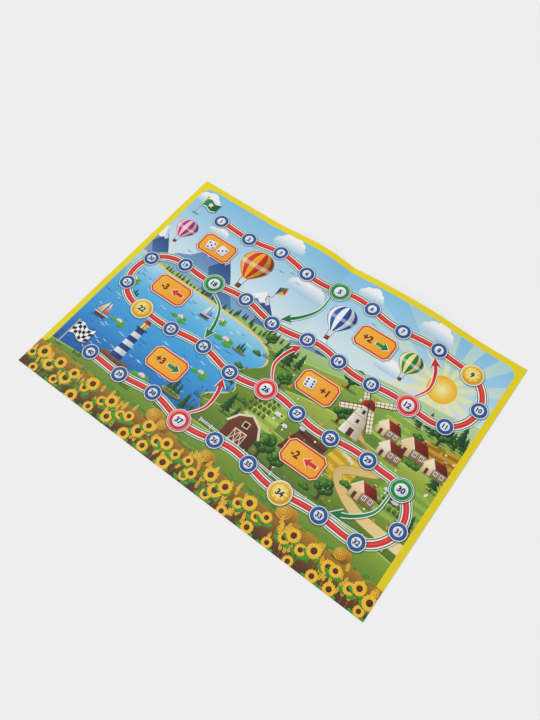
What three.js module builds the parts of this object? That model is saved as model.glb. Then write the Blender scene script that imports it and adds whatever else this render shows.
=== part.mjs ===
// A folding game board: one sheet of coated card, opened flat, with one crease across its middle.
// Millimetres, +Z up. The origin is on the underside, at the middle of the crease.
// +X runs along the long side to the right and +Y to the back, as a player reads the print.
import * as THREE from "three";

// Driving dimensions of the opened sheet.
const SHEET_LENGTH = 420;
const SHEET_WIDTH = 297;

// The three plies that the card is pressed from.
const BACK_LINER_THICKNESS = 0.1;
const CORE_THICKNESS = 0.3;
const FACE_THICKNESS = 0.1;

// The creased strip: a rule presses a groove into the back, and a bead rises on the printed side.
const CREASE_WIDTH = 2;
const BEAD_WIDTH = 1.2;
const BEAD_HEIGHT = 0.15;
const GROOVE_WIDTH = 0.8;
const GROOVE_DEPTH = 0.15;
const ARC_STEPS = 8;

const CARD_THICKNESS = BACK_LINER_THICKNESS + CORE_THICKNESS + FACE_THICKNESS;
const PANEL_LENGTH = (SHEET_LENGTH - CREASE_WIDTH) / 2;
const PANEL_CENTRE = (CREASE_WIDTH + PANEL_LENGTH) / 2;

const printedFace = new THREE.MeshStandardMaterial({ color: 0x8fc6dc, roughness: 0.42, metalness: 0 });
const greyCore = new THREE.MeshStandardMaterial({ color: 0xb9b2a4, roughness: 0.9, metalness: 0 });
const whiteBack = new THREE.MeshStandardMaterial({ color: 0xeeece6, roughness: 0.8, metalness: 0 });
const creasedFace = new THREE.MeshStandardMaterial({ color: 0xa9d0dd, roughness: 0.55, metalness: 0 });

// Each ply of the card, from the table up.
const PLIES = [
  { name: "back_liner", thickness: BACK_LINER_THICKNESS, material: whiteBack },
  { name: "core_board", thickness: CORE_THICKNESS, material: greyCore },
  { name: "face_sheet", thickness: FACE_THICKNESS, material: printedFace },
];

// One half of the board: its plies stacked face to face.
function panel(side, direction) {
  const half = new THREE.Group();
  half.position.x = direction * PANEL_CENTRE;
  let height = 0;
  for (const ply of PLIES) {
    const geometry = new THREE.BoxGeometry(PANEL_LENGTH, SHEET_WIDTH, ply.thickness);
    const mesh = new THREE.Mesh(geometry, ply.material);
    mesh.name = `${side}_${ply.name}`;
    mesh.position.z = height + ply.thickness / 2;
    half.add(mesh);
    height += ply.thickness;
  }
  return half;
}

// Points of a shallow circular arc between two places on a level line, with the given rise at its middle.
function shallowArc(fromX, toX, level, rise) {
  const halfChord = Math.abs(toX - fromX) / 2;
  const radius = (halfChord ** 2 + rise ** 2) / (2 * rise);
  const points = [];
  for (let step = 0; step <= ARC_STEPS; step += 1) {
    const along = -1 + (2 * step) / ARC_STEPS;
    const height = Math.sqrt(radius ** 2 - (along * halfChord) ** 2) - (radius - rise);
    points.push(new THREE.Vector2((fromX + toX) / 2 + (along * (toX - fromX)) / 2, level + height));
  }
  return points;
}

// The strip that the fold bends in, between the two panels, with its groove below and its bead above.
function creaseStrip() {
  const edge = CREASE_WIDTH / 2;
  const outline = new THREE.Shape([
    new THREE.Vector2(-edge, 0),
    ...shallowArc(-GROOVE_WIDTH / 2, GROOVE_WIDTH / 2, 0, GROOVE_DEPTH),
    new THREE.Vector2(edge, 0),
    new THREE.Vector2(edge, CARD_THICKNESS),
    ...shallowArc(BEAD_WIDTH / 2, -BEAD_WIDTH / 2, CARD_THICKNESS, BEAD_HEIGHT),
    new THREE.Vector2(-edge, CARD_THICKNESS),
  ]);
  const geometry = new THREE.ExtrudeGeometry(outline, { depth: SHEET_WIDTH, bevelEnabled: false });
  const mesh = new THREE.Mesh(geometry, creasedFace);
  mesh.name = "crease_strip";
  mesh.rotation.x = Math.PI / 2;
  mesh.position.y = SHEET_WIDTH / 2;
  return mesh;
}

const board = new THREE.Group();
board.add(panel("left", -1), creaseStrip(), panel("right", 1));

export default board;
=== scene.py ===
# A folding game board: one sheet of printed card, opened on a table, with one crease across its middle.
# The print is drawn as ink shapes in millimetres, cut into one mesh and pressed onto the card's face ply.
import math
import random
from functools import cache, partial

import bpy
import numpy as np
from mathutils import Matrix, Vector
from mathutils.geometry import delaunay_2d_cdt


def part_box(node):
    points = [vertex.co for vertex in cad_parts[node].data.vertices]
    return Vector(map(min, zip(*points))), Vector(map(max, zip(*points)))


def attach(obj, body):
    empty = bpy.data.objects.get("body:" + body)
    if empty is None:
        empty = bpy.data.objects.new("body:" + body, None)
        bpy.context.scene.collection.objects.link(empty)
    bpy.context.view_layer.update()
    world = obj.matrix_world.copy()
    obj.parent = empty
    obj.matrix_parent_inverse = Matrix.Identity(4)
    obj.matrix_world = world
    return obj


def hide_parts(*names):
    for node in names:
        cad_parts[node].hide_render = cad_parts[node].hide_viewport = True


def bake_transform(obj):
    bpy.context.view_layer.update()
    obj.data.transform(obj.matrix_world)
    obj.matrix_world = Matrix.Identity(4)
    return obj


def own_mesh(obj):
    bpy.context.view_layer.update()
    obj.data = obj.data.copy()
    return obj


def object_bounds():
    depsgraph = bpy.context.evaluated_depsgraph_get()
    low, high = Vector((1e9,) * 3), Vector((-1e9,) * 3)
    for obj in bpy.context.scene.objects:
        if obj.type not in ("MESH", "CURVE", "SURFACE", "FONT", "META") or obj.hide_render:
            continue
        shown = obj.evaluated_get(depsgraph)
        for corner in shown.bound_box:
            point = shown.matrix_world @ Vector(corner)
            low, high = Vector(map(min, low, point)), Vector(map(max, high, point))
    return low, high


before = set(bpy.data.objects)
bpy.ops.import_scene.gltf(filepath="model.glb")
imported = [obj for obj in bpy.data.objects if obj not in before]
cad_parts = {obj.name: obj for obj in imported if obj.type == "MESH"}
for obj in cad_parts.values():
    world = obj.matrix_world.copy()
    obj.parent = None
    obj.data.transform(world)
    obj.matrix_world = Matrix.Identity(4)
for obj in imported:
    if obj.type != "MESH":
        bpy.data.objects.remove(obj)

random.seed(11)

# The card as the solids give it: its box in metres, and its own measures in millimetres.
CAD_LOW, CAD_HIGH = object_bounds()
MM = 0.001
HALF_LENGTH = CAD_HIGH[0] / MM
HALF_WIDTH = CAD_HIGH[1] / MM
CREASE_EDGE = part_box("crease_strip")[1][0] / MM
BEAD_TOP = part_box("crease_strip")[1][2] / MM
PLY_LEVELS = {
    ply: (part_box(f"left_{ply}")[0][2] / MM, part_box(f"left_{ply}")[1][2] / MM)
    for ply in ("back_liner", "core_board", "face_sheet")
}
CARD_TOP = PLY_LEVELS["face_sheet"][1]
PIECE_NAMES = {"face_sheet": "printed_sheet", "core_board": "pulp_core", "back_liner": "white_back"}

# The creased strip's own section.
BEAD_WIDTH = 1.2
GROOVE_WIDTH = 0.8
GROOVE_DEPTH = 0.15
CREASE_COLUMNS = (0.0, GROOVE_WIDTH / 4, GROOVE_WIDTH / 2, BEAD_WIDTH / 2, CREASE_EDGE)
CREASE_LINES = sorted({side * x for side in (-1, 1) for x in CREASE_COLUMNS})

# The low arch that the fold leaves in the opened card, highest at the back edge and gone at the front.
ARCH = {
    "Left Rise": 6.2,
    "Left Peak": 40.0,
    "Left Fall": 72.0,
    "Right Rise": 6.0,
    "Right Peak": 82.0,
    "Right Fall": 93.0,
    "Front Edge": -HALF_WIDTH,
    "Back Edge": HALF_WIDTH,
}
ARCH_FADE_POWER = 1.5

# Grids that keep the ink's fades smooth and the arch round, the gap at which points are welded,
# and the angle from which an edge is sharp.
INK_GRID = 5.0
PLY_GRID = 6.0
WELD = 0.0004
SHARP_ANGLE = math.radians(35)

# How far the print runs past the cut edges, and the level that its hills reach down to.
BLEED = 10.0
FLOOR = -170

# Inks that come back in more than one motif.
WHITE = "#ffffff"
CREAM = "#f6efe2"
LIME_WASH = "#f3ead8"
SUNLIGHT = "#fff6b0"
BUTTERCUP = "#f7c531"
POPPY = "#e23c32"
CORNFLOWER = "#2b6cb8"
CLOVER = "#2fa35a"
BARK = "#5d3a22"
TIMBER = "#7b4a2a"
ROPE = "#6b4a2b"
IRON = "#27486b"
LEAF_SHADE = "#124a24"
MEADOW_SHADE = "#2d6b35"
YARD_SHADE = "#2d5a35"
WATER_SHADE = "#123a63"
CAST_SHADE = "#17304f"
SIGN_PAPER = "#fff6df"
SIGN_INK = "#8c2a12"

# Ink: each layer is a paint and the outlines that it fills. Later layers cover earlier ones.
LAYERS = []

# The frames that are being drawn in: a foot on the board and a size. The first is the board's own.
FRAMES = [(np.zeros(2), 1.0)]
IN_MILLIMETRES = 1.0


def lay(paint, *outlines):
    """Fills outlines of the present frame with a paint. An ink code alone is a flat ink."""
    foot, size = FRAMES[-1]
    inked = flat(paint) if isinstance(paint, str) else paint
    on_board = [np.asarray(outline, float) * size + foot for outline in outlines]
    LAYERS.append((lambda spots: inked((spots - foot) / size), on_board))


def motif(draw):
    """Lets a drawing use a frame of its own, with its foot as the origin and its size as the unit."""
    def drawn(x, y, size, *looks):
        foot, scale = FRAMES[-1]
        FRAMES.append((foot + np.multiply((x, y), scale), scale * size))
        draw(*looks)
        FRAMES.pop()

    return drawn


def scatter(draw, *places):
    for place in places:
        draw(*place)


def millimetres(length):
    """A length on the board, in the unit of the present frame."""
    return length / FRAMES[-1][1]


# Paints: each gives the ink and its cover at some spots.
def rgb(code):
    return np.array([int(code[place:place + 2], 16) / 255 for place in (1, 3, 5)])


def flat(code, cover=1.0):
    return lambda spots: (rgb(code), cover)


def run_between(code_a, code_b, cover_a, cover_b, share_at):
    def paint(spots):
        share = np.clip(share_at(spots), 0, 1)[:, None]
        return rgb(code_a) * (1 - share) + rgb(code_b) * share, cover_a + (cover_b - cover_a) * share

    return paint


def fade(code_a, point_a, code_b, point_b, cover_a=1.0, cover_b=1.0):
    run = np.subtract(point_b, point_a)
    return run_between(code_a, code_b, cover_a, cover_b, lambda spots: (spots - point_a) @ run / (run @ run))


def upright(code_a, y_a, code_b, y_b):
    return fade(code_a, (0, y_a), code_b, (0, y_b))


def sideways(code_a, x_a, code_b, x_b, *covers):
    return fade(code_a, (x_a, 0), code_b, (x_b, 0), *covers)


def glow(code_in, code_out, centre, radius, cover_in=1.0, cover_out=1.0):
    def share_at(spots):
        return np.hypot(*(spots - centre).T) / radius

    return run_between(code_in, code_out, cover_in, cover_out, share_at)


def stacked(*stops):
    levels, codes = zip(*stops)
    inks = np.array([rgb(code) for code in codes])
    return lambda spots: (np.stack([np.interp(spots[:, 1], levels, part) for part in inks.T], 1), 1.0)


# Outlines, as arrays of points.
def placed(outline, x, y, turn=0.0, scale=1.0):
    cos, sin = math.cos(turn) * scale, math.sin(turn) * scale
    return np.asarray(outline, float) @ np.array([[cos, sin], [-sin, cos]]) + (x, y)


def polar(reach, turn):
    return np.stack([reach * np.cos(turn), reach * np.sin(turn)], -1)


def oval(x, y, across, up, turn=0.0, sides=20):
    return placed(polar(1.0, np.arange(sides) * 2 * math.pi / sides) * (across, up), x, y, turn)


def disc(x, y, radius, sides):
    return oval(x, y, radius, radius, sides=sides)


def block(x, y, wide, high, turn=0.0):
    return placed(tapered(-high / 2, wide / 2, high / 2, wide / 2), x, y, turn)


def tapered(low, half_low, high, half_high):
    return [(-half_low, low), (half_low, low), (half_high, high), (-half_high, high)]


def chamfered(x, y, wide, high, cut):
    a, b = wide / 2, high / 2
    return placed([
        (-a, cut - b), (cut - a, -b), (a - cut, -b), (a, cut - b),
        (a, b - cut), (a - cut, b), (cut - a, b), (-a, b - cut),
    ], x, y)


def star(x, y, outer, inner, points, turn=0.0):
    corner = np.arange(2 * points)
    return polar(np.where(corner % 2 == 0, outer, inner), turn + corner * math.pi / points) + (x, y)


def smooth(points, steps=6, closed=False):
    points = np.asarray(points, float)
    count = len(points)
    place = (lambda i: i % count) if closed else (lambda i: min(max(i, 0), count - 1))
    out = []
    for i in range(count if closed else count - 1):
        a, b, c, d = (points[place(i + step)] for step in (-1, 0, 1, 2))
        for t in np.arange(steps) / steps:
            bend = (2 * a - 5 * b + 4 * c - d) * t ** 2 + (3 * b - a - 3 * c + d) * t ** 3
            out.append(b + 0.5 * ((c - a) * t + bend))
    if not closed:
        out.append(points[-1])
    return np.array(out)


def band(path, half_width):
    path = np.asarray(path, float)
    ahead = np.gradient(path, axis=0)
    side = np.stack([-ahead[:, 1], ahead[:, 0]], 1) / np.hypot(*ahead.T)[:, None]
    side = side * np.broadcast_to(half_width, len(path))[:, None]
    return ribbon(path - side, path + side)


def ribbon(edge_a, edge_b):
    return np.concatenate([edge_a, edge_b[::-1]])


def ground(points):
    top = smooth(points, 8)
    return np.concatenate([top, [(top[-1][0], FLOOR), (top[0][0], FLOOR)]])


def soft_shadow(outline, shift, reach, cover):
    outline = np.asarray(outline, float) + shift
    centre = outline.mean(0)
    out = outline - centre
    length = np.hypot(*out.T)[:, None]
    for share in (1.0, 0.66, 0.33):
        lay(flat(CAST_SHADE, cover / 3), centre + out * (1 + reach * share / length))


# Sky and far country.
SKY_TOP = 150
HORIZON = 26
MOUNTAIN_FOOT = HORIZON - 6
SUN_RAYS = 28
FAR_CONIFERS = 44


def sky():
    paint = stacked((HORIZON, "#f4fafb"), (62, "#e0f1f9"), (100, "#c2e4f6"), (SKY_TOP, "#9fd6f2"))
    lay(paint, block(0, 0, 2 * (HALF_LENGTH + BLEED), 2 * (HALF_WIDTH + BLEED)))


@motif
def sun():
    for ray in range(0, SUN_RAYS, 2):
        edges = polar(170, 2 * math.pi * np.array([ray, ray + 1]) / SUN_RAYS)
        lay(glow("#fff7c4", "#e9f7fb", (0, 0), 150, 0.75, 0.0), [(0, 0), *edges])
    lay(glow(SUNLIGHT, SUNLIGHT, (0, 0), 34, 0.9, 0.0), disc(0, 0, 34, 36))
    lay(glow("#fffbd6", "#f9c72b", (0, 0), 17), disc(0, 0, 15.5, 36))


@motif
def cloud():
    paint = upright("#c4e0f1", -0.12, WHITE, 0.22)
    lay(paint, oval(0, 0, 0.52, 0.11, sides=24))
    for puff in ((-0.36, 0.06, 0.15), (-0.18, 0.17, 0.2), (0.06, 0.22, 0.24), (0.27, 0.12, 0.18),
                 (0.41, 0.03, 0.11)):
        lay(paint, disc(*puff, 22))


def mountain(x, wide, tall):
    def at(across, up):
        return x + across * wide, MOUNTAIN_FOOT + up * tall

    peak, notch = at(0.04, 1), at(0.1, 0.72)
    haze = (x, MOUNTAIN_FOOT - 4)
    ridge = [peak, notch, at(0.02, 0.5), at(0.14, 0.24), at(0.06, 0)]
    left = [at(-0.5, 0), at(-0.3, 0.42), at(-0.2, 0.5)]
    right = [at(0.24, 0.58), at(0.36, 0.3), at(0.52, 0)]
    lay(fade("#7398c6", peak, "#b4d3e8", haze), left + ridge)
    lay(fade("#2f5690", peak, "#8fb6d6", haze), ridge[::-1] + right)
    lay(WHITE, [peak, notch, at(0.05, 0.66), at(0, 0.74), at(-0.05, 0.63), at(-0.1, 0.72)])
    lay("#dcebf5", [peak, at(0.155, 0.74), at(0.13, 0.67), notch])


def far_country():
    scatter(mountain, (-205, 92, 52), (-60, 100, 46), (24, 84, 36), (-132, 122, 70))
    scatter(cloud, (-190, 124, 34), (-74, 127, 40), (36, 125, 30), (116, 126, 38), (-24, 88, 46),
            (96, 62, 30), (-150, 96, 26))
    lay(upright("#d2e4c4", 60, "#b0d084", 10),
        ground([(-230, 24), (-150, 30), (-90, 24), (-20, 30), (50, 40), (110, 52), (170, 58), (230, 70)]))
    for place in range(FAR_CONIFERS):
        x = -206 + 5.1 * place + random.uniform(-1.5, 1.5)
        conifer(x, 21 + 3 * math.sin(place * 0.7), random.uniform(7, 12))


# Lake, hills and fields.
LAKE_SHORE = [(-230, 18), (-150, 21), (-80, 19), (-22, 12), (-6, -6), (-24, -26), (-14, -46), (-36, -66),
              (-30, -84), (-70, -104), (-150, -112), (-230, -110)]
BEACH = (1.022, 1.045)
RIPPLES = 130


def lake():
    shore = smooth(LAKE_SHORE, closed=True)
    centre = shore.mean(0)
    lay("#f3e3a8", centre + (shore - centre) * BEACH)
    lay(stacked((-112, "#2478ba"), (-64, "#56b2e6"), (-10, "#7dcbf0"), (20, "#c4eaf8")), shore)
    for ripple in range(RIPPLES):
        y = random.uniform(-100, 14)
        x = random.uniform(-206, -34)
        long = random.uniform(4, 11)
        path = smooth([(x, y), (x + long * 0.3, y + 0.7), (x + long * 0.6, y - 0.3), (x + long, y + 0.5)], 4)
        half = 0.42 * np.sin(np.linspace(0.12, math.pi - 0.12, len(path)))
        lay(flat(WHITE, 0.75) if ripple % 2 else flat("#1c5f9e", 0.6), band(path, half))


@motif
def islet():
    lay(flat(WATER_SHADE, 0.4), oval(0, -0.06, 0.58, 0.15, sides=18))
    lay(upright("#f0dc9c", 0.1, "#a9823c", -0.12), oval(0, 0, 0.5, 0.12, sides=18))
    lay(upright("#bdd67a", 0.1, "#5f8336", -0.08), oval(0, 0.03, 0.42, 0.09, sides=16))
    scatter(conifer, (-0.24, 0.03, 0.5), (0.22, 0.03, 0.56), (-0.03, 0.03, 0.74))


@motif
def boat(*sail_inks):
    lay(flat(WATER_SHADE, 0.35), oval(0, -0.06, 0.62, 0.07, sides=16))
    lay(upright("#a2622f", 0.2, "#4f2a14", 0), [(-0.36, 0), (0.34, 0), (0.55, 0.22), (-0.5, 0.2)])
    lay(CREAM, band([(-0.5, 0.21), (0.55, 0.23)], 0.03))
    lay(BARK, block(0.04, 0.72, 0.04, 1.05))
    for ink, mast, tip in zip(sail_inks, (-0.02, 0.1), (-0.46, 0.5)):
        lay(fade(WHITE, (mast, 1), ink, (tip, 0.3)), [(mast, 1.22), (mast, 0.32), (tip, 0.34)])


def blade(foot, half, lean, tall, root_ink, tip_ink):
    """One blade of grass, with its lean and its height drawn from the given ranges."""
    tip = (foot + random.uniform(*lean), random.uniform(*tall))
    lay(fade(root_ink, (foot, 0), tip_ink, tip), [(foot - half, 0), (foot + half, 0), tip])
    return tip


@motif
def grass():
    for place in range(5):
        blade((place - 2) * 0.22, 0.09, (-0.4, 0.4), (0.7, 1.1), "#3a8f35", "#a8d950")


@motif
def reeds():
    for stem in range(6):
        x, y = blade((stem - 2.5) * 0.16, 0.05, (-0.15, 0.2), (0.7, 1.05), "#124a26", "#4d9a3c")
        if stem % 2:
            lay(upright("#7a4a22", y, "#3a1f0d", y - 0.2), oval(x, y, 0.05, 0.15, sides=10))


@motif
def lily():
    for turn in (0.92, 2.99, 5.52):
        x, y = math.cos(turn), 0.45 * math.sin(turn)
        lay(upright("#2f9a4b", y - 1, "#83cc5b", y + 0.4), oval(x, y, 0.8, 0.42, 0.1, 16))
    for petal in range(7):
        turn = math.pi * (0.1 + 0.8 * petal / 6)
        tip = polar(1.0, turn) * (0.32, 0.3) + (0, 0.26)
        lay(fade("#e87aa8", (0, 0), "#ffe6f0", tip), oval(*tip, 0.34, 0.13, turn, 10))
    lay("#f8d348", disc(0, 0.3, 0.12, 10))


HILLS = (
    ("#bdd67a", "#86a84c", [(-60, 4), (-10, 14), (50, 26), (100, 33), (150, 30), (200, 40), (230, 44)]),
    ("#d2de7c", "#8ba648", [(-80, -44), (-10, -26), (40, -12), (90, -6), (130, -14), (180, -6), (230, 4)]),
    ("#b8cd66", "#6f913f",
     [(-90, -84), (-20, -66), (40, -56), (100, -62), (150, -52), (190, -56), (230, -44)]),
)
FRONT_HILL = ("#adc65c", "#688b39",
              [(-230, -110), (-150, -104), (-80, -96), (0, -92), (80, -98), (150, -90), (230, -96)])
FIELDS = (
    ([(30, 0), (64, -2), (76, 24), (50, 22)], 7, "#e9d24d", "#d3b437"),
    ([(118, -2), (158, -4), (150, 26), (124, 28)], 8, "#a6c662", "#bcd678"),
    ([(8, -58), (44, -62), (48, -22), (24, -26)], 8, "#b2cc68", "#cbde82"),
    ([(96, -58), (132, -62), (136, -24), (108, -18)], 9, "#f0da5e", "#dcbb3e"),
    ([(150, -64), (206, -62), (206, -26), (162, -22)], 9, "#9cbc5a", "#b2ce6e"),
    ([(56, -66), (92, -66), (98, -40), (66, -36)], 8, "#8a5a33", "#6d4425"),
    ([(160, -2), (204, -2), (204, 28), (168, 24)], 8, "#d9b93f", "#b98f2c"),
)


def hill(light, deep, top):
    crest = max(point[1] for point in top)
    lay(upright(light, crest, deep, crest - 52), ground(top))
    lay(flat("#f4f9c4", 0.5), band(smooth(top, 8) - (0, 0.5), 0.55))


def field(corners, rows, ink_a, ink_b):
    a, b, c, d = np.array(corners, float)
    for row in range(rows):
        low, high = row / rows, (row + 1) / rows
        strip = [a + (d - a) * low, b + (c - b) * low, b + (c - b) * high, a + (d - a) * high]
        lay(ink_a if row % 2 else ink_b, strip)


# Things that stand in the country.
@motif
def leafy_tree():
    lay(flat(MEADOW_SHADE, 0.35), oval(0.1, 0, 0.36, 0.07, sides=16))
    lay(sideways("#8a5a34", -0.1, BARK, 0.1), tapered(0, 0.07, 0.45, 0.04))
    crown = (0.0, 0.42, 0.2), (-0.22, 0.5, 0.19), (0.22, 0.52, 0.19), (0.08, 0.74, 0.22), (-0.1, 0.68, 0.22)
    for x, y, radius in crown:
        lit = (x - 0.35 * radius, y + 0.4 * radius)
        lay(glow("#98c745", "#0f4822", lit, 1.45 * radius), disc(x, y, radius, 18))
    for _ in range(7):
        x, y = random.uniform(-0.28, 0.2), random.uniform(0.45, 0.85)
        lay(flat("#d5ef84", 0.7), oval(x, y, 0.035, 0.02, random.uniform(0, 3), 6))


@motif
def conifer():
    lay(flat("#1f5a33", 0.35), oval(0.08, 0, 0.28, 0.05, sides=16))
    lay(ROPE, block(0, 0.06, 0.07, 0.14))
    for tier in range(4):
        base, half = 0.1 + 0.19 * tier, 0.29 - 0.055 * tier
        teeth = [(half * (tooth / 3 - 1), base + 0.05 * (tooth % 2)) for tooth in range(7)]
        lay(fade("#4c9c48", (-half, base + 0.1), "#08351f", (half, base)), teeth + [(0, base + 0.34)])


@motif
def house(wall, roof):
    ridge, eave, far_eave = (0.21, 0.74), (0.47, 0.37), (1.05, 0.37)
    gable = [(0, 0), (0.42, 0), (0.42, 0.42), (0.21, 0.72), (0, 0.42)]
    lay(flat(YARD_SHADE, 0.3), oval(0.55, 0, 0.6, 0.06, sides=18))
    lay(upright(wall, 0.42, "#cdb48a", -0.2), gable)
    lay(upright("#cdb287", 0.42, "#8a6c47", -0.2), block(0.71, 0.21, 0.58, 0.42))
    lay("#a8573e", block(0.6636, 0.705, 0.09, 0.3))
    lay("#e9e2d6", block(0.6636, 0.865, 0.12, 0.04))
    lay(fade(roof, ridge, "#6e1f18", far_eave), [ridge, (0.79, 0.74), far_eave, eave])
    for course in (0.25, 0.5, 0.75):
        x, y = 0.21 + 0.26 * course, 0.74 - 0.37 * course
        lay(flat("#7a2a20", 0.6), band([(x, y), (x + 0.58, y)], 0.012))
    lay(CREAM, band([(-0.05, 0.37), ridge, eave], 0.03))
    lay(TIMBER, block(0.21, 0.13, 0.13, 0.26))
    glare = millimetres(2)
    for x in (0.578182, 0.841818):
        lay(WHITE, block(x, 0.23, 0.15, 0.18))
        lay(upright("#173457", 0.23 - glare, "#5f98c8", 0.23 + glare), block(x, 0.23, 0.11, 0.14))
        lay(WHITE, block(x, 0.23, 0.016, 0.14))


@motif
def windmill():
    lay(flat(MEADOW_SHADE, 0.35), oval(0.1, 0, 0.34, 0.06, sides=18))
    lay(sideways("#fffdf5", -0.2, "#cfc3ad", 0.2), tapered(0, 0.2, 0.66, 0.12))
    for level in (0.22, 0.44):
        lay(flat("#b7a98e", 0.8), block(0, level, 0.4 - 0.16 * level / 0.66, 0.012))
    cap = smooth([(-0.15, 0.65), (-0.1, 0.77), (0, 0.82), (0.1, 0.77), (0.15, 0.65)], 4)
    lay(sideways("#d24a35", -0.12, "#8c2a22", 0.12), cap)
    lay(TIMBER, block(0, 0.08, 0.1, 0.16))
    for level in (0.33, 0.54):
        lay("#234a74", block(0, level, 0.06, 0.08))
    bars = [block(0.13 + 0.076 * bar, 0.06, 0.012, 0.1) for bar in range(6)]
    bars.append(block(0.32, 0.06, 0.42, 0.012))
    for sail in range(4):
        turn = 0.45 + sail * math.pi / 2
        lay("#7b5230", placed(block(0.27, 0, 0.54, 0.022), 0, 0.7, turn))
        lay("#fff8e6", placed(block(0.32, 0.06, 0.42, 0.1), 0, 0.7, turn))
        for bar in bars:
            lay("#9a6b41", placed(bar, 0, 0.7, turn))
    lay(BARK, disc(0, 0.7, 0.035, 14))


@motif
def lighthouse():
    rock = [(-0.34, -0.05), (-0.26, 0.07), (-0.1, 0.1), (0.1, 0.08), (0.3, 0.05), (0.38, -0.05)]
    lay(upright("#b08a62", 0.1, "#6d5138", -0.06), smooth(rock, 4))
    stripes = 7
    for stripe in range(stripes):
        left, right = (WHITE, "#c9d6e2") if stripe % 2 else ("#2f6fb4", "#174a86")
        low, high = stripe / stripes, (stripe + 1) / stripes
        lay(sideways(left, -0.115, right, 0.115),
            tapered(0.06 + 0.66 * low, 0.115 - 0.04 * low, 0.06 + 0.66 * high, 0.115 - 0.04 * high))
    lay(IRON, block(0, 0.72, 0.22, 0.03))
    lay(sideways("#fff3a8", -0.05, "#f0c33c", 0.05), block(0, 0.79, 0.1, 0.11))
    lay(IRON, block(0, 0.79, 0.012, 0.11))
    lay(sideways("#e2513b", -0.08, "#9a2c22", 0.08), [(-0.085, 0.845), (0.085, 0.845), (0, 0.96)])


BALLOON_HALF = 0.36
BALLOON_BELLY = 0.58
BALLOON_GORES = 8


@motif
def balloon(*gore_inks):
    share = np.linspace(0, 1, 17)
    neck = 0.2 + 0.8 * np.sin(math.pi / 2 * np.minimum(share / BALLOON_BELLY, 1))
    dome = np.sqrt(np.maximum(1 - ((share - BALLOON_BELLY) / (1 - BALLOON_BELLY)) ** 2, 0.0004))
    half = BALLOON_HALF * np.where(share < BALLOON_BELLY, neck, dome)
    level = 0.26 + 0.74 * share

    def silk(left, right, part=slice(None)):
        return ribbon(np.stack([half * left, level], 1)[part], np.stack([half * right, level], 1)[part])

    for side in (-0.16, 0.16):
        lay(ROPE, band([(0.324 * side, 0.1), (0.45 * side, 0.27)], 0.006))
    lay(sideways("#b97f45", -0.07, TIMBER, 0.07), block(0, 0.055, 0.12, 0.11))
    for weave in (0.03, 0.065):
        lay(flat(BARK, 0.6), block(0, weave, 0.12, 0.008))
    seams = np.sin(math.pi * (np.arange(BALLOON_GORES + 1) / BALLOON_GORES - 0.5))
    for gore in range(BALLOON_GORES):
        lay(gore_inks[gore % len(gore_inks)], silk(seams[gore], seams[gore + 1]))
    lay(sideways(WHITE, -BALLOON_HALF, WHITE, -0.1 * BALLOON_HALF, 0.4, 0.0), silk(-1, 1))
    lay(sideways("#10264a", 0, "#10264a", BALLOON_HALF, 0.0, 0.38), silk(-1, 1))
    lay(flat(WHITE, 0.55), silk(-1, 1, (share > 0.42) & (share < 0.62)))


@motif
def bird():
    for side in (-1, 1):
        wing = smooth([(0, 0), (side * 0.35, 0.28), (side, 0.1)], 4)
        lay("#35526e", band(wing, 0.07 * np.linspace(1.2, 0.25, len(wing))))


@motif
def kite(*inks):
    turned = partial(placed, x=0, y=0, turn=-0.5)
    corners = [(0, 1), (0.62, 0.15), (0, -0.9), (-0.62, 0.15)]
    tail = smooth([(0, -0.9), (0.25, -1.3), (-0.15, -1.7), (0.3, -2.2)], 5)
    lay("#c0392b", turned(band(tail, 0.04)))
    for ink, a, b in zip(inks, corners, corners[1:] + corners[:1]):
        lay(ink, turned([a, b, (0, 0.15)]))
    for knot in (8, 14):
        lay(inks[0], turned(star(*tail[knot], 0.2, 0.07, 2)))


@motif
def sunflower(turn):
    rings = (0, 0.66, "#dd931c", "#fbd03a"), (0.5, 0.5676, "#f3b628", "#ffea6c")
    for shift, reach, root_ink, tip_ink in rings:
        for petal in range(13):
            angle = turn + (petal + shift) * 2 * math.pi / 13
            lay(glow(root_ink, tip_ink, (0, 0), 1), oval(*polar(reach, angle), 0.36, 0.15, angle, 8))
    lay(glow("#7a4a1c", "#3f2410", (-0.1, 0.1), 0.5), disc(0, 0, 0.42, 18))
    for seed in range(9):
        lay(flat("#c98f35", 0.8), disc(*polar(0.1 * math.sqrt(seed + 0.5), seed * 2.4), 0.04, 5))


@motif
def leaf(turn):
    lay(upright("#3f9a3d", -1, "#86c94c", 1), oval(0, 0, 1, 0.42, turn, 10))


def wheat(x, y, tall, lean):
    path = smooth([(x, y), (x + 0.3 * lean, y + 0.5 * tall), (x + lean, y + tall)], 4)
    lay("#b98b24", band(path, 0.25))
    ahead = math.atan2(0.5 * tall, 0.7 * lean)
    for place, side in enumerate((-1, 1) * 4 + (0,)):
        seed = placed([(1.5 * (place // 2), 0.8 * side)], *path[-1], ahead)[0]
        lay(fade("#f6d75c", seed, "#cf9a26", seed + (1.4, -1.0)),
            oval(*seed, 1.25, 0.58, ahead + 0.5 * side, 7))


@motif
def sheep(way):
    dark = "#3a3236"
    lay(flat(MEADOW_SHADE, 0.4), oval(0, -0.5, 0.95, 0.18, sides=14))
    for leg in (-0.5, -0.25, 0.3, 0.52):
        lay(dark, block(leg, -0.35, 0.12, 0.4))
    fleece = (-0.5, 0, 0.34), (0.5, 0, 0.34), (0, -0.08, 0.42), (-0.25, 0.25, 0.34), (0.25, 0.25, 0.34)
    for tuft in fleece:
        lay(upright(WHITE, 0.5, "#cfd6de", -0.5), disc(*tuft, 14))
    lay(dark, oval(way * 0.86, 0.16, 0.27, 0.2, -way * 0.5, 12))


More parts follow.
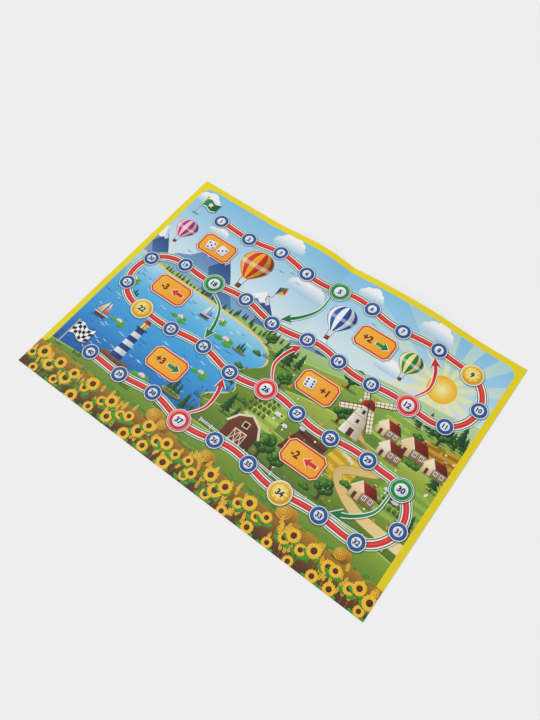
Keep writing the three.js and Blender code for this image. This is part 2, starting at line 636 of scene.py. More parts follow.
@motif
def flower(ink):
    for petal in range(5):
        angle = 0.3 + petal * 2 * math.pi / 5
        lay(ink, oval(*polar(0.6, angle), 0.5, 0.38, angle, 7))
    lay(BUTTERCUP, disc(0, 0, 0.36, 7))


@motif
def bush():
    clumps = (-0.32, 0.1, 0.2), (0.32, 0.1, 0.2), (0, 0.2, 0.27), (-0.14, 0.08, 0.2), (0.16, 0.08, 0.2)
    for x, y, radius in clumps:
        lay(glow("#93c548", LEAF_SHADE, (x - 0.1, y + 0.12), 0.38), disc(x, y, radius, 14))


@motif
def fruit_tree():
    lay(flat(YARD_SHADE, 0.5), oval(0.9, -1.7, 2.3, 0.9, sides=10))
    lay(BARK, block(0, -1.2, 0.7, 1.8))
    lay(glow("#a8cf4c", LEAF_SHADE, (-0.7, 1.5), 3.4), disc(0, 0.8, 2.2, 12))
    for fruit in ((-0.8, 0.4), (0.7, 1.3), (0.5, -0.2)):
        lay("#c0291f", disc(*fruit, 0.42, 6))


def orchard(x, y, columns, rows):
    for row in reversed(range(rows)):
        for column in range(columns):
            fruit_tree(x + 5.4 * column + 1.5 * row, y + 6.4 * row, IN_MILLIMETRES)


@motif
def bale():
    lay(flat("#5d4a1c", 0.4), oval(0.3, -0.95, 1.3, 0.2, sides=16))
    near, far = disc(0, 0, 1, 24), disc(0.9, 0, 1, 24)
    lay(upright("#e2b23b", 1, "#9c6f1d", -1), np.concatenate([near[6:19], far[18:], far[:7]]))
    lay(glow("#f7dc7a", "#d9a52f", (-0.3, 0.3), 1.5), near)
    coil = np.linspace(0, 5.2 * math.pi, 60)
    lay("#a97a22", band(polar(0.1 + 0.8 * coil / coil[-1], coil), 0.025 + millimetres(0.1)))


@motif
def barn():
    lay(flat(YARD_SHADE, 0.35), oval(0.1, 0, 0.66, 0.06, sides=20))
    lay(fade("#a5673c", (-0.5, 1), "#6d3d22", (0.5, 0)),
        [(-0.5, 0), (0.5, 0), (0.5, 0.5), (0.34, 0.74), (0, 0.92), (-0.34, 0.74), (-0.5, 0.5)])
    for x in np.arange(1, 12) / 12 - 0.5:
        top = 0.92 - 0.78 * abs(x)
        lay(flat("#57301b", 0.55), block(x, top / 2, 0.008, 0.98 * top))
    lay(LIME_WASH, band([(-0.56, 0.44), (-0.36, 0.77), (0, 0.97), (0.36, 0.77), (0.56, 0.44)], 0.035))
    lay(LIME_WASH, block(0, 0.2, 0.42, 0.4))
    for door in (-0.1, 0.1):
        lay(upright("#b9713f", 0.4, "#7d4626", 0), block(door, 0.19, 0.18, 0.36))
        for brace in (-1.11, 1.11):
            lay(LIME_WASH, block(door, 0.19, 0.39, 0.022, brace))
    lay(LIME_WASH, block(0, 0.62, 0.2, 0.2))
    lay("#3d2415", block(0, 0.62, 0.15, 0.15))


def road(points, wide_near, wide_far):
    path = smooth(points, 8)
    half = np.linspace(wide_near, wide_far, len(path)) / 2
    lay("#b79a5c", band(path, half + 0.5))
    lay(fade("#fbe9bd", path[0], "#e3c987", path[-1]), band(path, half))


def fence(points):
    path = smooth(points, 10)
    for rail in (1.4, 3.0):
        lay(WHITE, band(path + (0, rail), 0.35))
    for x, y in path[::3]:
        lay(sideways(WHITE, x - 0.6, "#c9ced6", x + 0.6),
            placed([(-0.6, -0.5), (0.6, -0.5), (0.6, 4), (0, 4.8), (-0.6, 4)], x, y))


# The yellow frame round the picture, open at the front edge.
FRAME_WIDTH = 7.0
FRAME_CORNER = 11.0


def picture_frame():
    yellow = fade("#faed38", (-200, 150), "#f1e130", (200, -150))
    strip = FRAME_WIDTH + BLEED
    past_edge = (BLEED - FRAME_WIDTH) / 2
    lay(yellow, block(0, HALF_WIDTH + past_edge, 2 * (HALF_LENGTH + BLEED), strip))
    arc = np.linspace(0, math.pi / 2, 9)
    for side in (-1, 1):
        lay(yellow, block(side * (HALF_LENGTH + past_edge), 0, strip, 2 * (HALF_WIDTH + BLEED)))
        inner = np.array([side * (HALF_LENGTH - FRAME_WIDTH), HALF_WIDTH - FRAME_WIDTH])
        fillet = inner - (1 - polar(1.0, arc)) * (side * FRAME_CORNER, FRAME_CORNER)
        lay(yellow, [inner + (side, 1), *fillet])


# The track: a winding path in four rows, with its spaces evenly along it.
ROWS = (112, 42, -28, -98)
ROW_END = 158
ROW_SWAY = 4.5
TRACK_STEP = 4.0
TRACK_SHADOWS = ((6.6, 0.07), (6.0, 0.09))
TRACK_BANDS = ((WHITE, 5.6), ("#3fae70", 5.0), (WHITE, 3.8), ("#e64c46", 2.7))
SPACES = 40
SPACE_RADIUS = 8.8
SPECIAL_RADIUS = 12.0


def track_path():
    turn_radius = (ROWS[0] - ROWS[1]) / 2
    arc = np.linspace(math.pi / 2, -math.pi / 2, round(math.pi * turn_radius / TRACK_STEP))[1:-1]
    path = []
    for row, level in enumerate(ROWS):
        heading = -1 if row % 2 else 1
        reach = np.linspace(-ROW_END, ROW_END, round(2 * ROW_END / TRACK_STEP)) * heading
        sway = ROW_SWAY * np.sin(3 * math.pi * reach / ROW_END) * (1 - (reach / ROW_END) ** 2)
        path.append(np.stack([reach, level + sway], 1))
        path.append(polar(turn_radius, arc) * (heading, 1) + (heading * ROW_END, level - turn_radius))
    return np.concatenate(path[:-1])


def track(path):
    for half, cover in TRACK_SHADOWS:
        lay(flat(CAST_SHADE, cover), band(path + (0.5, -0.6), half))
    for ink, half in TRACK_BANDS:
        lay(ink, band(path, half))
    lay("#f2756e", band(path + (0, 0.5), 0.7))


# Nodes: each has its settings, and its inputs get a value or a link from another node's output.
def plug(tree, made, inputs):
    for label, value in inputs.items():
        if isinstance(value, bpy.types.NodeSocket):
            tree.links.new(value, made.inputs[label])
        else:
            made.inputs[label].default_value = value


def node(tree, kind, inputs, **settings):
    made = tree.nodes.new(kind)
    for label, value in settings.items():
        setattr(made, label, value)
    plug(tree, made, inputs)
    return made.outputs


def maths(tree, operation, *values, clamp=False):
    return node(tree, "ShaderNodeMath", dict(enumerate(values)), operation=operation, use_clamp=clamp)[0]


# Geometry Nodes: a tree with its named inputs, its end, and the mesh that it grows.
def new_tree(name, inputs):
    tree = bpy.data.node_groups.new(name, "GeometryNodeTree")
    for label, kind in (("Geometry", "Geometry"), *inputs):
        tree.interface.new_socket(label, in_out="INPUT", socket_type=f"NodeSocket{kind}")
    tree.interface.new_socket("Geometry", in_out="OUTPUT", socket_type="NodeSocketGeometry")
    return tree, tree.nodes.new("NodeGroupInput").outputs


def end_tree(tree, geometry, finish):
    realized = node(tree, "GeometryNodeRealizeInstances", {"Geometry": geometry})
    painted = node(tree, "GeometryNodeSetMaterial", {"Geometry": realized["Geometry"], "Material": finish})
    node(tree, "NodeGroupOutput", {"Geometry": painted["Geometry"]})
    return tree


def held(name, data):
    """A new object in the scene that holds a mesh, a curve, a lamp or a lens."""
    holder = bpy.data.objects.new(name, data)
    bpy.context.collection.objects.link(holder)
    return holder


def mesh_from(name, data, tree=None, values=()):
    """The mesh of a curve or a numeral, or what a tree grows from it or from a mesh with these inputs."""
    holder = held(name, data)
    if tree is not None:
        modifier = holder.modifiers.new(tree.name, "NODES")
        modifier.node_group = tree
        for item in tree.interface.items_tree:
            if item.in_out == "INPUT" and item.name in values:
                modifier[item.identifier] = values[item.name]
    bpy.context.view_layer.update()
    graph = bpy.context.evaluated_depsgraph_get()
    mesh = bpy.data.meshes.new_from_object(holder.evaluated_get(graph), depsgraph=graph)
    holder.modifiers.clear()
    bpy.data.objects.remove(holder)
    return mesh


def space_tree():
    inputs = [("Spaces", "Int"), ("Radius", "Float"), ("Finish", "Material")]
    tree, start = new_tree("spaces_on_track", inputs)
    along = {"Curve": start["Geometry"], "Count": start["Spaces"]}
    points = node(tree, "GeometryNodeCurveToPoints", along, mode="COUNT")
    ring = node(tree, "GeometryNodeMeshCircle", {"Radius": start["Radius"]}, fill_type="NGON")
    each = {"Points": points["Points"], "Instance": ring["Mesh"]}
    spread = node(tree, "GeometryNodeInstanceOnPoints", each)
    return end_tree(tree, spread["Instances"], start["Finish"])


def space_places(path, finish):
    line = bpy.data.curves.new("track_line", "CURVE")
    line.dimensions = "3D"
    spline = line.splines.new("POLY")
    spline.points.add(len(path) - 1)
    for point, (x, y) in zip(spline.points, path):
        point.co = (x, y, 0, 1)
    values = {"Spaces": SPACES, "Radius": SPACE_RADIUS, "Finish": finish}
    mesh = mesh_from("track_line", line, space_tree(), values)
    places = [tuple(face.center[:2]) for face in mesh.polygons]
    bpy.data.meshes.remove(mesh)
    return places


# Numerals, as outlines one unit tall.
NUMERAL_WEIGHT = 0.046
NUMERAL_STEPS = 3


@cache
def numeral(text):
    words = bpy.data.curves.new("numeral", "FONT")
    words.body = text
    words.align_x = "CENTER"
    words.align_y = "CENTER"
    words.resolution_u = NUMERAL_STEPS
    words.offset = NUMERAL_WEIGHT
    mesh = mesh_from("numeral", words)
    corners = np.array([vertex.co[:2] for vertex in mesh.vertices])
    middle = (corners.min(0) + corners.max(0)) / 2
    tall = np.ptp(corners[:, 1])
    outlines = [(corners[list(face.vertices)] - middle) / tall for face in mesh.polygons]
    bpy.data.meshes.remove(mesh)
    return outlines


def write(text, x, y, tall, ink):
    lay(ink, *[placed(piece, x, y, scale=tall) for piece in numeral(text)])


# Spaces, leap arrows, plaques and flags.
RING_INKS = {"plain": ("#5088bc", "#3d6fa9"), "on": ("#3cba78", "#1f9458"), "back": ("#f4645c", "#de423c")}
KINDS = {5: "on", 9: "gold", 12: "back", 18: "on", 22: "gold", 26: "back", 30: "on", 34: "gold", 37: "back"}
LEAPS = ((5, 16, 9), (12, 8, -10), (18, 24, 10), (26, 15, 10), (30, 33, 12), (37, 25, -9))
PLAQUE = (44.0, 27.0)
PLAQUE_CUT = 5.0
PIPS = {
    3: ((-1, -1), (0, 0), (1, 1)),
    5: ((-1, -1), (1, -1), (0, 0), (-1, 1), (1, 1)),
    6: ((-1, -1), (-1, 0), (-1, 1), (1, -1), (1, 0), (1, 1)),
}


def space(x, y, number, kind):
    radius = SPACE_RADIUS if kind == "plain" else SPECIAL_RADIUS
    soft_shadow(disc(x, y, radius, 36), (0.4, -0.5), 1.4, 0.32)
    lay(WHITE, disc(x, y, radius, 40))
    if kind == "gold":
        gold_space(x, y, radius)
    else:
        lit, deep = RING_INKS[kind]
        ring = fade(lit, (x - radius, y + radius), deep, (x + radius, y - radius))
        lay(ring, disc(x, y, radius - 0.65, 40))
        if kind != "plain":
            lay(WHITE, disc(x, y, 0.85 * radius, 36))
            lay(ring, disc(x, y, 0.82 * radius, 36))
        lay(fade(WHITE, (x - 3, y + 4), "#dfe8f0", (x + 4, y - 5)), disc(x, y, 0.54 * radius, 32))
    write(str(number), x, y, (0.6 if kind == "plain" else 0.52) * radius, "#2c3d82")


@motif
def gold_space():
    lay(glow(SUNLIGHT, "#e6b52c", (-0.35, 0.4), 1.6), disc(0, 0, 1 - millimetres(0.8), 40))
    lay("#c48f1c", disc(0, 0, 0.76, 36))
    lay(glow("#fff29a", "#efc637", (-0.3, 0.3), 1.2), disc(0, 0, 0.72, 36))
    lay(flat("#fff3b4", 0.8), star(0, 0, 0.7, 0.36, 8, 0.2))


def arrow(points, kind):
    lit, deep = RING_INKS[kind]
    path = smooth(points, 7)
    count = int(len(path) * 0.8) + 1
    neck, tip = path[count - 1], path[-1]
    ahead = (tip - neck) / np.hypot(*(tip - neck))
    side = np.array([-ahead[1], ahead[0]])
    half = 0.7 + 1.5 * np.linspace(0, 1, len(path))[:count]

    def outline(grow):
        shaft = band(path[:count], half + grow)
        barb = side * (5.2 + 1.6 * grow)
        root = neck - ahead * (1.2 + grow)
        head = [root - barb, tip + ahead * (1.8 * grow), root + barb]
        return np.concatenate([shaft[:count], head, shaft[count:]])

    lay(flat(CAST_SHADE, 0.25), outline(0.9) + (0.7, -0.9))
    lay(WHITE, outline(0.8))
    lay(fade(lit, path[0], deep, tip), outline(0.0))


def leap(start, stop, bow, kind):
    start, stop = np.array(start), np.array(stop)
    ahead = (stop - start) / np.hypot(*(stop - start))
    start = start + ahead * (SPECIAL_RADIUS - 2)
    stop = stop - ahead * (SPACE_RADIUS + 1)
    run = stop - start
    side = np.array([-ahead[1], ahead[0]]) * bow
    arrow([start, start + run * 0.33 + side, start + run * 0.7 + side * 0.8, stop], kind)


def plaque(x, y, sign):
    wide, high = PLAQUE
    outer = chamfered(x, y, wide, high, PLAQUE_CUT)
    soft_shadow(outer, (0.5, -0.7), 1.8, 0.28)
    lay(SIGN_PAPER, outer)
    lay("#e5482f", chamfered(x, y, wide - 1.6, high - 1.6, PLAQUE_CUT - 0.5))
    lay(fade("#ffd266", (x - wide / 2, y + high / 2), "#fcbb48", (x + wide / 2, y - high / 2)),
        chamfered(x, y, wide - 4.8, high - 4.8, PLAQUE_CUT - 1.4))
    sign(x, y)


@motif
def die(pips, turn):
    square = np.concatenate([
        polar(0.2, (quarter + np.linspace(0, 1, 5)) * math.pi / 2) + np.multiply(corner, 0.3)
        for quarter, corner in enumerate(((1, 1), (-1, 1), (-1, -1), (1, -1)))
    ])
    lay(flat("#a8590f", 0.45), placed(square, millimetres(0.7), millimetres(-0.9), turn))
    lay(fade(WHITE, (-0.5, 0.5), "#e3e6ec", (0.5, -0.5)), placed(square, 0, 0, turn))
    for spot in placed(PIPS[pips], 0, 0, turn, 0.27):
        lay("#1d3f78", disc(*spot, 0.095, 14))


def dice_sign(x, y):
    die(x - 7.5, y - 0.5, 11.5, 5, 0.22)
    die(x + 7.5, y + 0.5, 11.5, 3, -0.18)


def one_die_sign(x, y):
    die(x - 9, y, 12, 6, 0.12)
    write("+1", x + 8.5, y, 8, SIGN_INK)


def step_sign(text, kind):
    def sign(x, y):
        write(text, x - 8.5, y, 8, SIGN_INK)
        lit, deep = RING_INKS[kind]
        shape = np.array([(-7, -2), (1, -2), (1, -5), (7.5, 0), (1, 5), (1, 2), (-7, 2)])
        shape = shape * (1 if kind == "on" else -1, 1)
        lay(SIGN_PAPER, shape * 1.16 + (x + 8.5, y))
        lay(fade(lit, (x, y + 4), deep, (x + 14, y - 4)), shape + (x + 8.5, y))

    return sign


FLAG_COLUMNS = 6
FLAG_ROWS = 4


def flag(x, y, tall, plain):
    lay(flat(CAST_SHADE, 0.3), oval(x + 2, y - 0.5, 5, 1.2, sides=14))
    lay(sideways("#f4f1e8", x - 1, "#9a958a", x + 1), block(x, y + tall / 2, 1.5, tall))
    lay(glow("#fff0a0", "#d59a18", (x - 0.5, y + tall + 0.5), 2.4), disc(x, y + tall + 0.6, 1.5, 14))
    wide, high, top = 0.72 * tall, 0.46 * tall, y + tall - 1
    across = np.linspace(0, 1, 2 * FLAG_COLUMNS + 1)
    sway = 0.06 * tall * np.sin(across * 2.2 * math.pi)

    def cloth(upper, lower, part=slice(None)):
        levels = (top - high * level + sway for level in (upper, lower))
        return ribbon(*[np.stack([x + 0.8 + across * wide, level], 1)[part] for level in levels])

    soft_shadow(cloth(-0.05, 1.05), (0.8, -1.0), 1.2, 0.35)
    lay(WHITE, cloth(-0.05, 1.05))
    if plain:
        lay(sideways("#37b565", x, "#107a3b", x + wide), cloth(0.05, 0.95))
        lay(WHITE, star(x + 0.5 * wide, top - high / 2, 0.32 * high, 0.14 * high, 5, math.pi / 2))
        return
    for row in range(FLAG_ROWS):
        for column in range(row % 2, FLAG_COLUMNS, 2):
            check = slice(2 * column, 2 * column + 3)
            lay("#1c2633", cloth(row / FLAG_ROWS, (row + 1) / FLAG_ROWS, check))


# The picture, from the sky to the front field.
PETALS = (WHITE, "#f06a8c", BUTTERCUP, "#b77be0")
FRONT_EDGE = [(-230, -118), (-160, -114), (-90, -119), (-20, -115), (60, -120), (130, -114), (230, -119)]
MEADOW_BLOOMS = 170
WOOD_CONIFERS = 16
HEDGE_TUFTS = 110
FIELD_TUFTS = 60
WHEAT_STALKS = 150
SUNFLOWERS = 52


def country():
    sky()
    sun(152, 78, IN_MILLIMETRES)
    far_country()
    scatter(hill, *HILLS)
    scatter(field, *FIELDS)
    lake()
    hill(*FRONT_HILL)
    scatter(lily, (-56, -8, 7), (-98, -90, 7), (-184, -6, 6), (-52, -52, 6), (-112, -14, 6), (-160, -56, 6),
            (-74, 8, 5))
    scatter(islet, (-62, -84, 24), (-36, -8, 15), (-170, -22, 13))
    lighthouse(-134, -92, 62)
    boat(-182, -62, 17, "#e9b43a", "#d9402f")
    boat(-92, 2, 14, "#c9dcf0", "#3c78c2")
    scatter(reeds, (-24, -30, 12), (-18, -50, 11), (-38, -72, 12), (-34, -88, 13), (-10, 2, 10),
            (-62, -104, 12), (-104, -108, 12), (-168, -110, 12), (-204, -108, 12))


def standing_things():
    for bloom in range(MEADOW_BLOOMS):
        x, y = random.uniform(0, 204), random.uniform(-92, 24)
        flower(x, y, random.uniform(0.8, 1.4), PETALS[bloom % len(PETALS)])
    road([(206, -80), (150, -74), (118, -52), (150, -32), (128, -20), (112, -10)], 11, 4)
    for tree in range(WOOD_CONIFERS):
        conifer(146 + 4.2 * tree + random.uniform(-1, 1), 34 - 3 * (tree % 3), random.uniform(13, 20))
    scatter(conifer, (10, 4, 30), (22, 8, 22), (194, 34, 26), (184, 32, 18), (-8, -70, 26), (4, -74, 20),
            (196, -18, 26), (188, -60, 24), (198, -64, 19), (-44, -94, 22), (-34, -96, 16), (-2, 6, 18))
    scatter(leafy_tree, (76, 22, 26), (178, 24, 24), (20, -16, 20), (88, -14, 24), (46, -88, 30),
            (116, -86, 24), (64, -90, 22), (-18, 14, 16))
    windmill(104, -18, 54)
    scatter(house, (122, 2, 24, "#fff3d6", "#d9503a"), (150, -2, 28, "#fbe6c0", "#c8433a"),
            (178, -6, 24, "#fff3d6", "#b8532f"), (134, -16, 25, "#fdf6e6", "#b8532f"),
            (136, -65, 26, "#fbe6c0", "#d9503a"))
    barn(20, -88, 34)
    orchard(164, -54, 5, 3)
    orchard(6, -50, 5, 4)
    fence([(58, -34), (80, -30), (104, -34), (124, -40)])
    fence([(-20, -90), (40, -92), (100, -94), (190, -90)])
    scatter(sheep, (38, -40, 4.5, 1), (50, -46, 4, -1), (66, -38, 4, 1), (176, -46, 4.5, -1),
            (164, -40, 4, 1))
    scatter(bush, (36, 4, 12), (66, -2, 10), (170, -8, 14), (100, -84, 12), (-24, -40, 12), (-26, -22, 10),
            (160, 20, 12), (-20, 0, 10), (-52, -98, 14), (0, -50, 11), (130, -60, 12))


def sky_things():
    scatter(balloon, (-88, 52, 54, POPPY, BUTTERCUP), (26, 56, 46, CORNFLOWER, WHITE),
            (-183, 58, 36, "#c8357d", "#ffd9e8"), (112, 60, 36, CLOVER, "#fff1b0"))
    scatter(bird, (-60, 94, 5), (-48, 99, 4), (-36, 92, 4), (58, 98, 4), (-160, 58, 5), (-150, 62, 4),
            (-140, 14, 4))
    kite(-44, 74, 9, POPPY, BUTTERCUP, CORNFLOWER, CLOVER)


def tufts(count, low, high, small, tall):
    for _ in range(count):
        grass(random.uniform(-212, 212), random.uniform(low, high), random.uniform(small, tall))


def front_field():
    lay(upright("#dcb646", -110, "#6e4a18", -146), ground(FRONT_EDGE))
    tufts(HEDGE_TUFTS, -121, -114, 3, 6)
    scatter(bale, (-60, -112, 7), (-46, -115, 5.5), (100, -113, 7.5), (162, -113, 6), (8, -114, 6))
    for stalk in range(WHEAT_STALKS):
        x = random.uniform(-212, 212)
        wheat(x, -128 - 24 * stalk / WHEAT_STALKS, random.uniform(6, 9), random.uniform(-2, 2))
    tufts(FIELD_TUFTS, -150, -130, 4, 7)
    for bloom in range(SUNFLOWERS):
        x = -208 + 416 * bloom / (SUNFLOWERS - 1) + random.uniform(-4, 4)
        y = -134 + 10 * math.sin(bloom * 2.1) + random.uniform(-3, 3)
        for side in (-1, 1):
            leaf(x + side * 5, y - 5, 4.5, side * 0.5)
        sunflower(x, y, random.uniform(5.2, 7.6), random.uniform(0, 1))


def game(places):
    for first, last, bow in LEAPS:
        leap(places[first - 1], places[last - 1], bow, KINDS[first])
    for number, (x, y) in enumerate(places, 1):
        space(x, y, number, KINDS.get(number, "plain"))
    scatter(plaque, (-138, 80, dice_sign), (70, 82, step_sign("+2", "on")),
            (-142, 8, step_sign("-3", "back")), (52, 6, one_die_sign),
            (-86, -62, step_sign("+3", "on")), (84, -62, step_sign("-2", "back")))
    flag(-192, 104, 26, True)
    flag(-194, -110, 32, False)


def print_board(finish):
    country()
    standing_things()
    picture_frame()
    sky_things()
    path = track_path()
    track(path)
    front_field()
    game(space_places(path, finish))


# Pressing the ink: the layers are cut into one triangle mesh, and each corner gets its own colour.
# Printed dots spread a little, so middle tones come out deeper than they are drawn.
DOT_GAIN = 1.45
PAPER_WHITE = 0.82
SCAN_RUN = 400

# What a flat cut gives back: all that the corners span, or the inside of its faces.
WHOLE_SPAN, INSIDE_FACES = 0, 1


def stepped(outline):
    """The outline with points added along its long edges, so that they can follow the arch."""
    after = np.roll(outline, -1, 0)
    steps = np.ceil(np.hypot(*(after - outline).T) / INK_GRID).astype(int)
    runs = [a + (b - a) * (np.arange(count) / count)[:, None] for a, b, count in zip(outline, after, steps)]
    return np.concatenate(runs)


def cut(corners, lines, faces, mode, tracked):
    """The points and triangles of a flat cut, and, if tracked, the corners that each point comes from."""
    corners = [Vector(corner) for corner in corners]
    points, _, triangles, origins, _, _ = delaunay_2d_cdt(corners, lines, faces, mode, WELD, tracked)
    return np.array([point[:] for point in points]), np.array(triangles), origins


def cut_ink():
    """All outlines, the crease's lines and a grid, cut into triangles that run from the front to the back."""
    corners, lines = [], []
    for _, outlines in LAYERS:
        for outline in map(stepped, outlines):
            first, count = len(corners), len(outline)
            corners.extend(outline)
            lines.extend((first + place, first + (place + 1) % count) for place in range(count))
    edges = [((x, -HALF_WIDTH), (x, HALF_WIDTH)) for x in CREASE_LINES + [-HALF_LENGTH, HALF_LENGTH]]
    edges += [((-HALF_LENGTH, y), (HALF_LENGTH, y)) for y in (-HALF_WIDTH, HALF_WIDTH)]
    for edge in edges:
        lines.append((len(corners), len(corners) + 1))
        corners.extend(edge)
    levels = np.linspace(-HALF_WIDTH, HALF_WIDTH, round(2 * HALF_WIDTH / INK_GRID) + 1)
    for x in (*np.arange(-HALF_LENGTH, HALF_LENGTH + 1, INK_GRID), -CREASE_EDGE, CREASE_EDGE):
        corners.extend((x, y) for y in levels)
    points, triangles, _ = cut(corners, lines, [], WHOLE_SPAN, False)
    centres = points[triangles].mean(1)
    on_board = (np.abs(centres) < (HALF_LENGTH, HALF_WIDTH)).all(1)
    return points, triangles[on_board][np.argsort(centres[on_board, 1], kind="stable")]


def filled(outline, centres):
    """The places in centres, which are sorted by y, that lie inside an outline."""
    after = np.roll(outline, -1, 0)
    low, high = outline.min(0), outline.max(0)
    first, last = np.searchsorted(centres[:, 1], (low[1], high[1]))
    near = first + np.flatnonzero((centres[first:last, 0] > low[0]) & (centres[first:last, 0] < high[0]))
    found = []
    for start in range(0, len(near), SCAN_RUN):
        run = near[start:start + SCAN_RUN]
        x, y = centres[run, :1], centres[run, 1:]
        level = np.minimum(outline[:, 1], after[:, 1]) <= y[-1]
        level &= np.maximum(outline[:, 1], after[:, 1]) > y[0]
        a, b = outline[level].T, after[level].T
        rise = np.where(a[1] == b[1], 1.0, b[1] - a[1])
        crossed = ((a[1] > y) != (b[1] > y)) & (x < a[0] + (y - a[1]) * (b[0] - a[0]) / rise)
        found.append(run[crossed.sum(1) % 2 == 1])
    return np.concatenate(found) if found else near


def linear_light(inks):
    """Screen values as linear light, by the standard curve."""
    return np.where(inks <= 0.04045, inks / 12.92, ((inks + 0.055) / 1.055) ** 2.4)


def ink_corners(points, triangles):
    inks = np.ones((len(triangles), 3, 3))
    corners = points[triangles]
    centres = corners.mean(1)
    for paint, outlines in LAYERS:
        covered = np.unique(np.concatenate([filled(outline, centres) for outline in outlines]))
        ink, cover = paint(corners[covered].reshape(-1, 2))
        under = inks[covered].reshape(-1, 3)
        inks[covered] = (under + (ink - under) * cover).reshape(-1, 3, 3)
    return linear_light(inks ** DOT_GAIN) * PAPER_WHITE


# Closed meshes of the plies: a cut top, a plain underside and the card's edge between them.
# The edge and the underside share a narrow strip of the map that the print is baked on.
PAPER = (0.86, 0.85, 0.82, 1)
EDGE_STRIP = 0.02


def rim_of(triangles):
    edges = np.concatenate([triangles[:, pair] for pair in ([0, 1], [1, 2], [2, 0])])
    both = {(a, b) for a, b in edges}
    after = {a: b for a, b in both if (b, a) not in both}
    rim = [min(after)]
    while after[rim[-1]] != rim[0]:
        rim.append(after[rim[-1]])
    return rim


def underside_of(rim_points, lines):
    low, high = rim_points.min(0), rim_points.max(0)
    columns, rows = (np.arange(a + PLY_GRID, b - PLY_GRID / 2, PLY_GRID) for a, b in zip(low, high))
    corners = [*rim_points, *((x, y) for x in lines or columns for y in rows)]
    folds = []
    for x in lines:
        folds.append((len(corners), len(corners) + 1))
        corners.extend(((x, low[1]), (x, high[1])))
    rim = list(range(len(rim_points)))
    points, triangles, origins = cut(corners, folds, [rim], INSIDE_FACES, True)
    found = {source: place for place, origin in enumerate(origins) for source in origin}
    return points, triangles, np.array([found[source] for source in rim])


def ply_mesh(name, points, triangles, inks, top, bottom, lines=()):
    used, triangles = np.unique(triangles, return_inverse=True)
    triangles = triangles.reshape(-1, 3)
    points = points[used]
    rim = rim_of(triangles)
    under, under_triangles, under_rim = underside_of(points[rim], lines)
    under_rim = under_rim + len(points)
    upper = np.column_stack([points, top(points[:, 0])])
    lower = np.column_stack([under, bottom(under[:, 0])])
    sides = np.stack([under_rim, np.roll(under_rim, -1), np.roll(rim, -1), rim], 1)
    faces = triangles.tolist() + (under_triangles[:, ::-1] + len(points)).tolist() + sides.tolist()
    mesh = bpy.data.meshes.new(name)
    mesh.from_pydata((np.concatenate([upper, lower]) * MM).tolist(), [], faces)
    if inks is not None:
        print_on(mesh, inks.reshape(-1, 3))
    return mesh


def print_on(mesh, inks):
    """Puts the inks on a mesh's first corners, which are its top, and bare paper on the others."""
    printed = len(inks)
    colours = np.tile(PAPER, (len(mesh.loops), 1))
    colours[:printed, :3] = inks
    mesh.color_attributes.new("print", "FLOAT_COLOR", "CORNER").data.foreach_set("color", colours.ravel())
    corner = np.empty(len(mesh.loops), int)
    mesh.loops.foreach_get("vertex_index", corner)
    places = np.array([vertex.co[:2] for vertex in mesh.vertices])
    share = ((places - places.min(0)) / np.ptp(places, axis=0))[corner]
    share[:printed, 1] = EDGE_STRIP + (1 - EDGE_STRIP) * share[:printed, 1]
    share[printed:, 1] *= EDGE_STRIP / 2
    mesh.uv_layers.new(name="OFBake").data.foreach_set("uv", share.ravel())


def plain_ply(side):
    low, high = (-HALF_LENGTH, -CREASE_EDGE) if side == "left" else (CREASE_EDGE, HALF_LENGTH)
    columns = np.linspace(low, high, round((high - low) / PLY_GRID) + 1)
    rows = np.linspace(-HALF_WIDTH, HALF_WIDTH, round(2 * HALF_WIDTH / PLY_GRID) + 1)
    points = np.array([(x, y) for x in columns for y in rows])
    tall = len(rows)
    corner = (np.arange(len(columns) - 1)[:, None] * tall + np.arange(tall - 1)).ravel()
    lower = np.stack([corner, corner + tall, corner + tall + 1], 1)
    upper = np.stack([corner, corner + tall + 1, corner + 1], 1)
    return points, np.concatenate([lower, upper])


def level_at(height):
    return lambda x: np.full(len(x), height)


def swell(x, wide):
    return np.cos(np.clip(x / wide, -0.5, 0.5) * math.pi) ** 2


def bead(x):
    return CARD_TOP + (BEAD_TOP - CARD_TOP) * swell(x, BEAD_WIDTH)


def groove(x):
    return GROOVE_DEPTH * swell(x, GROOVE_WIDTH)


def arch_tree():
    inputs = [(label, "Float") for label in (*ARCH, "Fade Power")]
    tree, start = new_tree("arched_card", [*inputs, ("Finish", "Material")])
    worked = partial(maths, tree)
    place = node(tree, "ShaderNodeSeparateXYZ", {0: node(tree, "GeometryNodeInputPosition", {})[0]})
    on_right = worked("GREATER_THAN", place["X"], 0.0)

    def of_side(label):
        gap = worked("SUBTRACT", start[f"Right {label}"], start[f"Left {label}"])
        return worked("MULTIPLY_ADD", gap, on_right, start[f"Left {label}"])

    away = worked("ABSOLUTE", place["X"])
    peak = of_side("Peak")
    up = worked("SINE", worked("MULTIPLY", worked("DIVIDE", away, peak, clamp=True), math.pi / 2))
    past = worked("DIVIDE", worked("SUBTRACT", away, peak), of_side("Fall"), clamp=True)
    down = worked("MULTIPLY_ADD", worked("COSINE", worked("MULTIPLY", past, math.pi)), 0.5, 0.5)
    reach = worked("SUBTRACT", start["Back Edge"], start["Front Edge"])
    along = worked("DIVIDE", worked("SUBTRACT", place["Y"], start["Front Edge"]), reach, clamp=True)
    rise = worked("MULTIPLY", worked("POWER", along, start["Fade Power"]), of_side("Rise"))
    height = worked("MULTIPLY", worked("MULTIPLY", up, down), rise)
    lift = node(tree, "ShaderNodeCombineXYZ", {"Z": height})[0]
    moved = node(tree, "GeometryNodeSetPosition", {"Geometry": start["Geometry"], "Offset": lift})
    return end_tree(tree, moved["Geometry"], start["Finish"])


